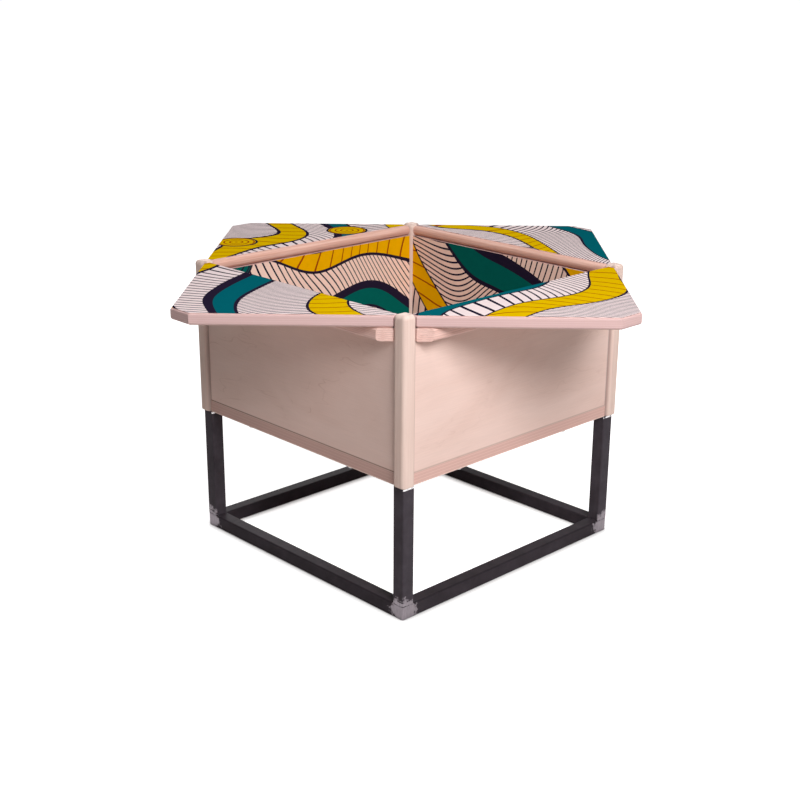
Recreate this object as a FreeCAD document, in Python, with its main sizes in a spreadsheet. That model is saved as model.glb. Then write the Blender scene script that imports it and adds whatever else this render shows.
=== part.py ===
import FreeCAD, Part
import Sketcher
import math
import os
import re

# Coffee table: a square box on a welded tube base, closed or widened by four turning leaves.
# Millimetres, +Z up, origin on the floor under the middle of the box. The leaves are drawn turned
# out. Each repeated piece is drawn once at the front, or at the front right corner, and turned
# about Z to its own side or corner.

# Driving dimensions
DRIVING = {
    # box
    "post_spacing": 425.0,      # between the middles of neighbouring posts
    "post_side": 22.0,
    "post_round": 6.0,          # upright edges and top
    "post_foot_round": 2.5,
    "post_rise": 2.5,           # post top above the leaves
    "box_lift": 191.0,          # underside of the box above the floor
    "base_thick": 18.0,
    "wall_height": 194.5,
    "wall_thick": 12.0,
    "lining_thick": 1.0,
    "dowel_side": 40.0,         # dowels in from the lower and upper edge of a wall
    # leaves
    "leaf_lift": 1.0,           # gap between wall and leaf
    "leaf_thick": 15.0,
    "leaf_inset": 7.0,          # leaf edge past the pivot, towards the middle of the box
    "leaf_tip": 39.5,           # width of the cut-off tip
    "leaf_end_gap": 0.3,        # leaf end to post
    "turn_clear": 0.2,          # between two leaves that turn together
    "leaf_round": 4.0,          # edges that are on top when closed
    "leaf_arris": 1.8,          # edges round the printed face
    "print_thick": 1.0,
    "print_margin": 1.9,
    # battens that carry the leaves
    "batten_wide": 19.2,
    "batten_high": 17.3,
    "batten_round": 4.0,
    "batten_gap": 0.2,
    # pins and dowels
    "pin_bore": 3.0,            # radius of pivot pins and dowels
    "pin_play": 0.05,           # radial, in the leaf
    "pin_apart": 0.5,           # between crossing pins inside a post
    "pin_in_leaf": 20.0,
    "dowel_in_wall": 20.0,
    "end_play": 0.3,            # left at the bottom of blind holes
    "stop_clear": 0.33,         # stop peg to the corner of a lining
    "stop_start": 1.5,          # hidden end, from the middle of the post
    "stop_long": 36.0,
    "stop_gap": 0.3,
    # tube base
    "leg_inset": 3.0,           # leg middle in from the post middle, on each side
    "tube_side": 20.0,
    "tube_wall": 1.5,
    "tube_round": 2.0,
    "mitre_round": 3.0,         # ground corner where two rails meet
    "leg_gap": 1.0,             # leg top to post
    "tab_long": 30.0,
    "tab_wide": 12.0,
    "tab_thick": 3.0,
    "tab_round": 4.0,
    # screws
    "screw_bore": 2.0,          # shank radius
    "screw_head": 4.0,          # head radius
    "screw_head_high": 2.4,
    "tab_screw_bite": 11.0,     # into the bottom panel
    "base_screw_bite": 25.0,    # into the wall
    "base_screw_out": 110.0,    # from the middle of the wall
    # construction
    "cut_room": 10.0,           # how far a cutting outline runs past the piece
}

# Places that follow from the driving dimensions
DERIVED = {
    "axis_out": "=post_spacing / 2",
    "post_face": "=axis_out - post_side / 2",
    "base_top": "=box_lift + base_thick",
    "wall_top": "=base_top + wall_height",
    "wall_out": "=axis_out + wall_thick / 2",
    "wall_in": "=axis_out - wall_thick / 2",
    "leaf_under": "=wall_top + leaf_lift",
    "print_under": "=leaf_under + leaf_thick",
    "leaf_top": "=print_under + print_thick",
    "axis_high": "=(leaf_under + leaf_top) / 2",
    "post_high": "=leaf_top + post_rise - box_lift",
    "leaf_end": "=post_face - leaf_end_gap",
    # rounded from over the pivot on, so that no edge dips below the leaf while it turns
    "hinge_round": "=leaf_inset",
    "print_inset": "=hinge_round + print_margin - leaf_arris",
    # a leaf's shoulder turns about the pivot and stays on its own side of the post's diagonal
    "shoulder_room": "=post_side / 2 + leaf_end_gap",
    "shoulder_rise": "=print_under - leaf_arris - axis_high",
    "shoulder_out": "=sqrt(shoulder_room ^ 2 - shoulder_rise ^ 2) - turn_clear / sqrt(2)",
    "leaf_line": "=axis_out + leaf_end + shoulder_out",     # across plus out, along a slanting edge
    "batten_top": "=leaf_under - batten_gap",
    "leg_out": "=axis_out - leg_inset",
    "tube_out": "=leg_out + tube_side / 2",
    "tube_in": "=leg_out - tube_side / 2",
    "pin_in_post": "=post_side / 2 - pin_bore - pin_apart",
    "stop_bore": "=((post_side - wall_thick) / 2 - lining_thick) / sqrt(2) - stop_clear",
    "stop_high": "=leaf_under - stop_gap - stop_bore",
    "tab_under": "=box_lift - tab_thick",
    "tab_middle_x": "=tube_in - tab_long / 2",
    "tab_middle_y": "=tube_in + tab_wide / 2",
    "dowel_low": "=base_top + dowel_side",
    "dowel_top": "=wall_top - dowel_side",
}

SIDES = {"front": 0, "right": 90, "rear": 180, "left": 270}
CORNERS = {"front_right": 0, "rear_right": 90, "rear_left": 180, "front_left": 270}
STOP_CORNERS = ("rear_right", "front_left")
ALONG = FreeCAD.Vector(1, 0, 0)
UPRIGHT = FreeCAD.Vector(0, 0, 1)
SAME = 1e-6                     # two places this close are one

doc = FreeCAD.newDocument("coffee_table")
sheet = doc.addObject("Spreadsheet::Sheet", "Sizes")
pieces = []


def fill_sheet():
    """Put every dimension in the sheet under its own name."""
    entries = [(name, str(value)) for name, value in DRIVING.items()]
    entries += list(DERIVED.items())
    for row, (name, text) in enumerate(entries, start=1):
        sheet.set("A%d" % row, name)
        sheet.set("B%d" % row, text)
        sheet.setAlias("B%d" % row, name)
    doc.recompute()


def bound(text):
    """Turn sheet names in a formula into references to the sheet."""
    def refer(match):
        word = match.group()
        return "Sizes." + word if word in DRIVING or word in DERIVED else word

    return re.sub("[a-z_]+", refer, text)


def number(text):
    """Value of a formula of sheet names."""
    return float(sheet.evalExpression(bound(text)))


def turned(angle):
    """Placement that turns a piece about the middle of the table."""
    return FreeCAD.Placement(FreeCAD.Vector(), FreeCAD.Rotation(UPRIGHT, angle))


def finish(piece, label, angle=0):
    """Name a finished piece, turn it to its place and list it for writing."""
    piece.Label = label
    piece.Placement = turned(angle)
    pieces.append(piece)
    return piece


def new_body(name):
    """Empty body that may hold several separate solids."""
    body = doc.addObject("PartDesign::Body", name + "_body")
    body.AllowCompound = True
    return body


def new_sketch(body, role, offset="0"):
    """Sketch on one of the body's own planes, moved along that plane's normal."""
    plane = next(item for item in body.Origin.OriginFeatures if item.Role == role)
    sketch = body.newObject("Sketcher::SketchObject", body.Name + "_sketch")
    sketch.AttachmentSupport = [(plane, "")]
    sketch.MapMode = "FlatFace"
    sketch.setExpression("AttachmentOffset.Base.z", bound(offset))
    return sketch


def place_point(sketch, geometry, point, place):
    """Tie a point of a sketch to its place from the origin."""
    for kind, text in zip(("DistanceX", "DistanceY"), place):
        constraint = Sketcher.Constraint(kind, -1, 1, geometry, point, number(text))
        index = sketch.addConstraint(constraint)
        sketch.setExpression("Constraints[%d]" % index, bound(text))


def outline(sketch, places):
    """Closed outline of straight lines through places given as pairs of formulas."""
    corners = [FreeCAD.Vector(number(x), number(y), 0) for x, y in places]
    first = sketch.GeometryCount
    count = len(corners)
    for step in range(count):
        sketch.addGeometry(Part.LineSegment(corners[step], corners[(step + 1) % count]))
    for step in range(count):
        following = first + (step + 1) % count
        sketch.addConstraint(Sketcher.Constraint("Coincident", first + step, 2, following, 1))
        place_point(sketch, first + step, 1, places[step])


def rectangle(sketch, x_low, x_high, y_low, y_high):
    """Closed rectangle between formulas."""
    outline(sketch, [(x_low, y_low), (x_high, y_low), (x_high, y_high), (x_low, y_high)])


def circles(sketch, radius, places):
    """Round holes or pins of one radius."""
    for place in places:
        middle = FreeCAD.Vector(number(place[0]), number(place[1]), 0)
        index = sketch.addGeometry(Part.Circle(middle, UPRIGHT, number(radius)))
        place_point(sketch, index, 3, place)
        size = sketch.addConstraint(Sketcher.Constraint("Radius", index, number(radius)))
        sketch.setExpression("Constraints[%d]" % size, bound(radius))


def corner_waste(sketch, corner, inward, radius):
    """What a rounded corner loses: two straight sides and the arc between their ends.

    The signs in inward say which way the rounding runs from the corner.
    """
    x, y = corner
    places = [("%s %s %s" % (x, inward[0], radius), y), corner, (x, "%s %s %s" % (y, inward[1], radius))]
    start, tip, end = [FreeCAD.Vector(number(across), number(up), 0) for across, up in places]
    middle = start + end - tip
    bulge = middle + (tip - middle).normalize() * number(radius)
    first = sketch.addGeometry(Part.LineSegment(start, tip))
    second = sketch.addGeometry(Part.LineSegment(tip, end))
    arc = sketch.addGeometry(Part.Arc(start, bulge, end))
    near_start = 1 if sketch.getPoint(arc, 1).isEqual(start, SAME) else 2
    sketch.addConstraint(Sketcher.Constraint("Coincident", first, 2, second, 1))
    sketch.addConstraint(Sketcher.Constraint("Coincident", first, 1, arc, near_start))
    sketch.addConstraint(Sketcher.Constraint("Coincident", second, 2, arc, 3 - near_start))
    for line, point, place in ((first, 1, places[0]), (second, 1, corner), (second, 2, places[2])):
        place_point(sketch, line, point, place)
    size = sketch.addConstraint(Sketcher.Constraint("Radius", arc, number(radius)))
    sketch.setExpression("Constraints[%d]" % size, bound(radius))


def extrude(body, kind, sketch, length=None, reverse=False, both=False):
    """Pad or Pocket of a sketch. Without a length it goes through everything."""
    feature = body.newObject("PartDesign::" + kind, body.Name + "_" + kind.lower())
    feature.Profile = sketch
    feature.Reversed = reverse
    if both:
        feature.SideType = "Symmetric"
    if length is None:
        feature.Type = "ThroughAll"
    else:
        feature.setExpression("Length", bound(length))
    doc.recompute()
    return feature


def round_edges(body, radius, wanted):
    """Fillet of the body's edges that pass a test."""
    base = body.Tip
    names = ["Edge%d" % (step + 1) for step, edge in enumerate(base.Shape.Edges) if wanted(edge)]
    fillet = body.newObject("PartDesign::Fillet", body.Name + "_fillet")
    fillet.Base = (base, names)
    fillet.setExpression("Radius", bound(radius))
    doc.recompute()
    return fillet


def repeat(body, kind, features, **settings):
    """Mirrored or PolarPattern of features, made the last step of the body."""
    pattern = body.newObject("PartDesign::" + kind, body.Name + "_" + kind.lower())
    pattern.Originals = features
    for name, value in settings.items():
        setattr(pattern, name, value)
    body.Tip = pattern
    doc.recompute()
    return pattern


def mirror_left_right(body, features):
    """Repeat features at the other end of a piece."""
    plane = next(item for item in body.Origin.OriginFeatures if item.Role == "YZ_Plane")
    return repeat(body, "Mirrored", features, MirrorPlane=(plane, [""]))


def four_sides(body, features):
    """Repeat features on all four sides of the table."""
    axis = next(item for item in body.Origin.OriginFeatures if item.Role == "Z_Axis")
    turn = 360 * (1 - 1 / len(SIDES))
    return repeat(body, "PolarPattern", features, Axis=(axis, [""]), Angle=turn,
                  Occurrences=len(SIDES))


def runs_along(edge, direction):
    """True for a straight edge along a direction."""
    if edge.Curve.TypeId != "Part::GeomLine":
        return False
    return abs(abs(edge.tangentAt(edge.FirstParameter).dot(direction)) - 1) < SAME


def lies_at(edge, height):
    """True for an edge that lies flat at a height."""
    box = edge.BoundBox
    return abs(box.ZMin - height) < SAME and abs(box.ZMax - height) < SAME


def runs_at_hinge(edge):
    """True for a leaf's edge along its hinge."""
    return runs_along(edge, ALONG) and edge.BoundBox.YMax - number("leaf_inset - axis_out") > -SAME


def make_leg(label, angle):
    """Upright square tube standing on the rails."""
    body = new_body(label)
    sketch = new_sketch(body, "XY_Plane", "tube_side")
    rectangle(sketch, "tube_in", "tube_out", "-tube_out", "-tube_in")
    extrude(body, "Pad", sketch, "box_lift - leg_gap - tube_side")
    round_edges(body, "tube_round", lambda edge: runs_along(edge, UPRIGHT))
    bore = new_sketch(body, "XY_Plane", "tube_side")
    rectangle(bore, "tube_in + tube_wall", "tube_out - tube_wall",
              "-tube_out + tube_wall", "-tube_in - tube_wall")
    extrude(body, "Pocket", bore, both=True)
    return finish(body, label, angle)


def make_rail(label, angle):
    """Square tube on the floor, mitred at both ends, with its outer corners ground round."""
    body = new_body(label)
    section = new_sketch(body, "YZ_Plane")
    rectangle(section, "-tube_out", "-tube_in", "0", "tube_side")
    extrude(body, "Pad", section, "2 * tube_out", both=True)
    round_edges(body, "tube_round", lambda edge: runs_along(edge, ALONG))
    bore = new_sketch(body, "YZ_Plane")
    rectangle(bore, "-tube_out + tube_wall", "-tube_in - tube_wall",
              "tube_wall", "tube_side - tube_wall")
    extrude(body, "Pocket", bore, both=True)
    mitre = new_sketch(body, "XY_Plane")
    outline(mitre, [("tube_in - cut_room", "-tube_in + cut_room"),
                    ("tube_out + cut_room", "-tube_out - cut_room"),
                    ("tube_out + cut_room", "-tube_in + cut_room")])
    cut = extrude(body, "Pocket", mitre, both=True)
    corner = new_sketch(body, "XY_Plane")
    corner_waste(corner, ("tube_out", "-tube_out"), ("-", "+"), "mitre_round")
    ground = extrude(body, "Pocket", corner, both=True)
    mirror_left_right(body, [cut, ground])
    return finish(body, label, angle)


def make_leg_tab(label, angle):
    """Flat tab on the inner face of a leg, with the hole that holds the box down."""
    body = new_body(label)
    sketch = new_sketch(body, "XY_Plane", "tab_under")
    rectangle(sketch, "tube_in - tab_long", "tube_in", "-tube_in - tab_wide", "-tube_in")
    extrude(body, "Pad", sketch, "tab_thick")
    free_end = number("tube_in - tab_long")
    round_edges(body, "tab_round",
                lambda edge: runs_along(edge, UPRIGHT) and edge.BoundBox.XMin - free_end < SAME)
    hole = new_sketch(body, "XY_Plane", "tab_under")
    circles(hole, "screw_bore", [("tab_middle_x", "-tab_middle_y")])
    extrude(body, "Pocket", hole, both=True)
    return finish(body, label, angle)


def base_screw_places():
    """Screws under the front wall, from below."""
    return [("base_screw_out", "-axis_out"), ("-base_screw_out", "-axis_out")]


def make_screws(label, places, head_top, shank_long):
    """Round-headed screws on all four sides, driven upwards."""
    body = new_body(label)
    shank = new_sketch(body, "XY_Plane", head_top)
    circles(shank, "screw_bore", places)
    shank_pad = extrude(body, "Pad", shank, shank_long)
    head = new_sketch(body, "XY_Plane", head_top)
    circles(head, "screw_head", places)
    head_pad = extrude(body, "Pad", head, "screw_head_high", reverse=True)
    four_sides(body, [shank_pad, head_pad])
    return finish(body, label)


def make_bottom_panel(label):
    """Bottom of the box, notched round the posts, its edges flush with the walls."""
    body = new_body(label)
    sketch = new_sketch(body, "XY_Plane", "box_lift")
    corner = [("post_face", "-wall_out"), ("post_face", "-post_face"), ("wall_out", "-post_face")]
    places = []
    for _ in CORNERS:
        places += corner
        corner = [("-(%s)" % y, x) for x, y in corner]
    outline(sketch, places)
    extrude(body, "Pad", sketch, "base_thick")
    through = new_sketch(body, "XY_Plane", "box_lift")
    circles(through, "screw_bore", base_screw_places())
    base_holes = extrude(body, "Pocket", through, "base_thick", reverse=True)
    blind = new_sketch(body, "XY_Plane", "box_lift")
    circles(blind, "screw_bore", [("tab_middle_x", "-tab_middle_y")])
    tab_holes = extrude(body, "Pocket", blind, "tab_screw_bite + end_play", reverse=True)
    four_sides(body, [base_holes, tab_holes])
    return finish(body, label)


def dowel_places():
    """Dowels in the end of a wall: across and up."""
    return [("-axis_out", "dowel_low"), ("-axis_out", "dowel_top")]


def make_wall(label, angle):
    """Plywood wall between two posts, bored for its dowels and its screws."""
    body = new_body(label)
    sketch = new_sketch(body, "XY_Plane", "base_top")
    rectangle(sketch, "-post_face", "post_face", "-wall_out", "-wall_in")
    extrude(body, "Pad", sketch, "wall_height")
    screws = new_sketch(body, "XY_Plane", "base_top")
    circles(screws, "screw_bore", base_screw_places())
    extrude(body, "Pocket", screws, "base_screw_bite + end_play", reverse=True)
    ends = new_sketch(body, "YZ_Plane", "post_face")
    circles(ends, "pin_bore", dowel_places())
    bores = extrude(body, "Pocket", ends, "dowel_in_wall + end_play")
    mirror_left_right(body, [bores])
    return finish(body, label, angle)


def make_wall_dowels(label):
    """All the dowels between walls and posts."""
    body = new_body(label)
    pads = []
    for end, reverse in (("post_face", False), ("-post_face", True)):
        for length, flip in (("pin_in_post - end_play", reverse), ("dowel_in_wall", not reverse)):
            sketch = new_sketch(body, "YZ_Plane", end)
            circles(sketch, "pin_bore", dowel_places())
            pads.append(extrude(body, "Pad", sketch, length, reverse=flip))
    four_sides(body, pads)
    return finish(body, label)


def make_lining(label, angle):
    """Printed sheet on the inside of a wall."""
    body = new_body(label)
    sketch = new_sketch(body, "XY_Plane", "base_top")
    rectangle(sketch, "-post_face", "post_face", "-wall_in", "-wall_in + lining_thick")
    extrude(body, "Pad", sketch, "wall_height")
    return finish(body, label, angle)


def stop_cylinder(name):
    """Peg along the diagonal, from inside a post towards the middle of the box."""
    peg = doc.addObject("Part::Cylinder", name)
    peg.setExpression("Radius", bound("stop_bore"))
    peg.setExpression("Height", bound("stop_long"))
    near = number("axis_out") - number("stop_start") / math.sqrt(2)
    start = FreeCAD.Vector(near, -near, number("stop_high"))
    lay_down = FreeCAD.Rotation(FreeCAD.Vector(0, 0, 1), FreeCAD.Vector(-1, 1, 0))
    peg.Placement = FreeCAD.Placement(start, lay_down)
    return peg


def make_post(label, angle, has_stop):
    """Corner post with rounded edges and top, bored for pivot pins, dowels and perhaps a stop peg."""
    body = new_body(label)
    sketch = new_sketch(body, "XY_Plane", "box_lift")
    rectangle(sketch, "post_face", "post_face + post_side", "-post_face - post_side", "-post_face")
    extrude(body, "Pad", sketch, "post_high")
    top = number("box_lift + post_high")
    round_edges(body, "post_round", lambda edge: runs_along(edge, UPRIGHT) or lies_at(edge, top))
    foot = number("box_lift")
    round_edges(body, "post_foot_round", lambda edge: lies_at(edge, foot))
    heights = ("axis_high", "dowel_low", "dowel_top")
    for role, offset, across in (("YZ_Plane", "post_face", "-axis_out"),
                                 ("XZ_Plane", "post_face", "axis_out")):
        bores = new_sketch(body, role, offset)
        circles(bores, "pin_bore", [(across, height) for height in heights])
        extrude(body, "Pocket", bores, "pin_in_post", reverse=True)
    if not has_stop:
        return finish(body, label, angle)
    drilled = doc.addObject("Part::Cut", label + "_drilled")
    drilled.Base = body
    drilled.Tool = stop_cylinder(label + "_stop_hole")
    return finish(drilled, label, angle)


def make_stop_pegs(label):
    """Pegs that hold the closed leaves level."""
    group = doc.addObject("Part::Compound", label + "_group")
    pegs = []
    for corner in STOP_CORNERS:
        peg = stop_cylinder(label + "_" + corner)
        peg.Placement = turned(CORNERS[corner]) * peg.Placement
        pegs.append(peg)
    group.Links = pegs
    return finish(group, label)


def make_rest_batten(label, angle):
    """Rounded bar under a leaf, its ends cut in line with the leaf's edges."""
    body = new_body(label)
    section = new_sketch(body, "YZ_Plane")
    rectangle(section, "-wall_out - batten_wide", "-wall_out", "batten_top - batten_high", "batten_top")
    extrude(body, "Pad", section, "2 * leaf_end", both=True)
    round_edges(body, "batten_round", lambda edge: runs_along(edge, ALONG))
    end = new_sketch(body, "XY_Plane", "batten_top")
    outline(end, [("leaf_line - wall_out - batten_wide - cut_room", "-wall_out - batten_wide - cut_room"),
                  ("leaf_end + cut_room", "-wall_out - batten_wide - cut_room"),
                  ("leaf_end + cut_room", "-leaf_line + leaf_end + cut_room")])
    cut = extrude(body, "Pocket", end, both=True)
    mirror_left_right(body, [cut])
    return finish(body, label, angle)


def leaf_outline(sketch, margin, hinge_margin):
    """Triangle with a cut-off tip and square ends, drawn in from its edge by margins."""
    inner = "-axis_out + leaf_inset - %s" % hinge_margin
    end = "leaf_end - %s" % margin
    shoulder = "-leaf_line + leaf_end - %s + sqrt(2) * %s" % (margin, margin)
    tip = "-leaf_line + leaf_tip / 2 + %s" % margin
    half_tip = "leaf_tip / 2 + %s - sqrt(2) * %s" % (margin, margin)
    outline(sketch, [("-(%s)" % end, inner), (end, inner), (end, shoulder),
                     (half_tip, tip), ("-(%s)" % half_tip, tip), ("-(%s)" % end, shoulder)])


def make_leaf(label, angle):
    """Plywood leaf, rounded below and along the hinge, bored at both ends for its pivot pins."""
    body = new_body(label)
    sketch = new_sketch(body, "XY_Plane", "leaf_under")
    leaf_outline(sketch, "0", "0")
    extrude(body, "Pad", sketch, "leaf_thick")
    for height, radius in (("leaf_under", "leaf_round"), ("print_under", "leaf_arris")):
        level = number(height)
        round_edges(body, radius, lambda edge: lies_at(edge, level) and not runs_at_hinge(edge))
    hinge = new_sketch(body, "YZ_Plane")
    corner_waste(hinge, ("-axis_out + leaf_inset", "leaf_under"), ("-", "+"), "hinge_round")
    corner_waste(hinge, ("-axis_out + leaf_inset", "print_under"), ("-", "-"), "hinge_round")
    extrude(body, "Pocket", hinge, both=True)
    ends = new_sketch(body, "YZ_Plane", "leaf_end")
    circles(ends, "pin_bore + pin_play", [("-axis_out", "axis_high")])
    bore = extrude(body, "Pocket", ends, "pin_in_leaf + end_play")
    mirror_left_right(body, [bore])
    return finish(body, label, angle)


def make_leaf_print(label, angle):
    """Printed facing on the face of a leaf that shows when it is turned out."""
    body = new_body(label)
    sketch = new_sketch(body, "XY_Plane", "print_under")
    leaf_outline(sketch, "print_margin", "print_inset")
    extrude(body, "Pad", sketch, "print_thick")
    return finish(body, label, angle)


def make_pivot_pins(label, angle):
    """The two pins that a leaf turns on."""
    body = new_body(label)
    inward = "pin_in_leaf + leaf_end_gap"
    pads = []
    for length, reverse in (("pin_in_post - end_play", False), (inward, True)):
        sketch = new_sketch(body, "YZ_Plane", "post_face")
        circles(sketch, "pin_bore", [("-axis_out", "axis_high")])
        pads.append(extrude(body, "Pad", sketch, length, reverse=reverse))
    mirror_left_right(body, pads)
    return finish(body, label, angle)


def build():
    """Build every piece."""
    fill_sheet()
    for corner, angle in CORNERS.items():
        make_leg("leg_" + corner, angle)
        make_leg_tab("leg_tab_" + corner, angle)
        make_post("post_" + corner, angle, corner in STOP_CORNERS)
    for side, angle in SIDES.items():
        make_rail("rail_" + side, angle)
        make_wall("wall_" + side, angle)
        make_lining("lining_" + side, angle)
        make_rest_batten("rest_batten_" + side, angle)
        make_leaf("leaf_" + side, angle)
        make_leaf_print("leaf_print_" + side, angle)
        make_pivot_pins("pivot_pins_" + side, angle)
    make_bottom_panel("bottom_panel")
    make_screws("tab_screws", [("tab_middle_x", "-tab_middle_y")], "tab_under",
                "tab_thick + tab_screw_bite")
    make_screws("base_screws", base_screw_places(), "box_lift", "base_thick + base_screw_bite")
    make_wall_dowels("wall_dowels")
    make_stop_pegs("stop_pegs")
    doc.recompute()


def check():
    """Stop if any object failed or any piece is not a sound solid."""
    for item in doc.Objects:
        if "Invalid" in item.State or "Error" in item.State:
            raise RuntimeError("%s is %s" % (item.Label, item.State))
    for piece in pieces:
        if piece.Shape.isNull() or not piece.Shape.isValid() or not piece.Shape.Solids:
            raise RuntimeError("%s has no sound shape" % piece.Label)


def write():
    """Write each piece under its own name."""
    os.makedirs("parts", exist_ok=True)
    for piece in pieces:
        piece.Shape.exportStep("parts/%s.step" % piece.Label)
        box = piece.Shape.BoundBox
        print("%-26s %2d solids %10.1f mm3  x %7.1f %7.1f  y %7.1f %7.1f  z %6.1f %6.1f" % (
            piece.Label, len(piece.Shape.Solids), piece.Shape.Volume,
            box.XMin, box.XMax, box.YMin, box.YMax, box.ZMin, box.ZMax))


build()
check()
write()
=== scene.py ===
import logging
import math
from dataclasses import dataclass, field
from enum import Enum
from typing import Optional, Sequence, Union

import bpy
from mathutils import Matrix, Vector


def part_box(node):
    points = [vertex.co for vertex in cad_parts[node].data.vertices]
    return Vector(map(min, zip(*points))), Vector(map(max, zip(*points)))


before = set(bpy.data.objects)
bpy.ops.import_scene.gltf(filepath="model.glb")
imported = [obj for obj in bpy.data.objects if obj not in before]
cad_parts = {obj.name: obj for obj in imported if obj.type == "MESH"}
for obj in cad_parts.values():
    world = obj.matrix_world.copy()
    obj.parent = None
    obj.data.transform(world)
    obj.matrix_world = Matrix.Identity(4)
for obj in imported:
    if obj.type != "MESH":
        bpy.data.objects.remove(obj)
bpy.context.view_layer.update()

# Looks of a storage coffee table with four turning leaves: birch and birch plywood, a printed sheet on the
# leaves and inside the box, and a welded base of dark square tube. Sizes in the finishes are millimetres on
# the real piece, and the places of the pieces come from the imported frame.

LOG = logging.getLogger("coffee_table")
MM = 0.001                          # metres in a millimetre
PER_M = 1000.0                      # millimetres in a metre
FACTOR, FIRST, SECOND = 0, 6, 7     # inputs of a colour mix
NOISE = (0.3, 0.7)                  # most of a noise lies between these levels
LINE_CORE = 0.35                    # share of a shadow line that has its full weight

Tree = bpy.types.NodeTree
Node = bpy.types.Node
Source = Union[Node, bpy.types.NodeSocket]
Material = bpy.types.Material
Place = tuple[float, float, float]
Levels = tuple[float, float]


class Round(Enum):
    """Places round the box, each with its turn about Z from the first one in degrees."""

    @property
    def label(self) -> str:
        """Name as the nodes use it."""
        return self.name.lower()

    @property
    def turn(self) -> float:
        """Turn about Z in radians."""
        return math.radians(self.value)


class Side(Round):
    """Sides of the box."""

    FRONT = 0
    RIGHT = 90
    REAR = 180
    LEFT = 270


class Corner(Round):
    """Corners of the box."""

    FRONT_RIGHT = 0
    REAR_RIGHT = 90
    REAR_LEFT = 180
    FRONT_LEFT = 270


class Lay(Enum):
    """How a sheet lies: its axes along the grain, across it and through its thickness."""

    UPRIGHT = ("X", "Z", "Y")
    LEVEL = ("X", "Y", "Z")


class Grain(Enum):
    """Direction of the grain in a bar, with 0 for the axis along the grain."""

    LENGTHWISE = (0, 1, 1)
    STANDING = (1, 1, 0)


class Drawn(Enum):
    """What is drawn on a printed layer, with the mask channel that carries it."""

    PLAIN = (0, 0, 0, 1)
    CLOSE = (1, 0, 0, 1)
    OPEN = (0, 1, 0, 1)
    VEINS = (0, 0, 1, 1)


def linear(code: str) -> tuple[float, float, float, float]:
    """Turn an sRGB hex colour into linear light.

    Args:
        code: colour as "#RRGGBB".
    Returns:
        Red, green, blue and alpha, with alpha 1.
    """
    parts = [int(code[step:step + 2], 16) / 255 for step in (1, 3, 5)]
    light = [c / 12.92 if c <= 0.04045 else ((c + 0.055) / 1.055) ** 2.4 for c in parts]
    return (*light, 1.0)


def add_node(tree: Tree, kind: str, settings: Optional[dict] = None,
             links: Union[dict, Source, None] = None) -> Node:
    """Add one shader node. Every mix is one of colours.

    Args:
        tree: node tree that gets the node.
        kind: node type without its "ShaderNode" prefix, and after a dot its operation, if it has one.
        settings: values by property name, or by input name or number. "stops" sets a colour ramp,
            "steps" one with hard edges, and "From" and "To" the two ends of a range.
        links: what feeds the first input, or a dict of what feeds inputs by name or number: a socket,
            or a node for its first output.
    Returns:
        The new node.
    """
    kind, _, operation = kind.partition(".")
    node = tree.nodes.new("ShaderNode" + kind)
    if operation:
        node.operation = operation
    if kind == "Mix":
        node.data_type = "RGBA"
    for name, value in (settings or {}).items():
        if name in ("stops", "steps"):
            ramp = node.color_ramp
            ramp.interpolation = "LINEAR" if name == "stops" else "CONSTANT"
            while len(ramp.elements) < len(value):
                ramp.elements.new(1.0)
            for element, (position, colour) in zip(ramp.elements, value):
                element.position = position
                element.color = colour
        elif name in ("From", "To"):
            for end, level in zip((" Min", " Max"), value):
                node.inputs[name + end].default_value = level
        elif isinstance(name, str) and hasattr(node, name):
            setattr(node, name, value)
        else:
            node.inputs[name].default_value = value
    if not isinstance(links, dict):
        links = {} if links is None else {0: links}
    for name, source in links.items():
        if isinstance(source, Node):
            source = next(socket for socket in source.outputs if socket.enabled)
        tree.links.new(source, node.inputs[name])
    return node


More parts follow.
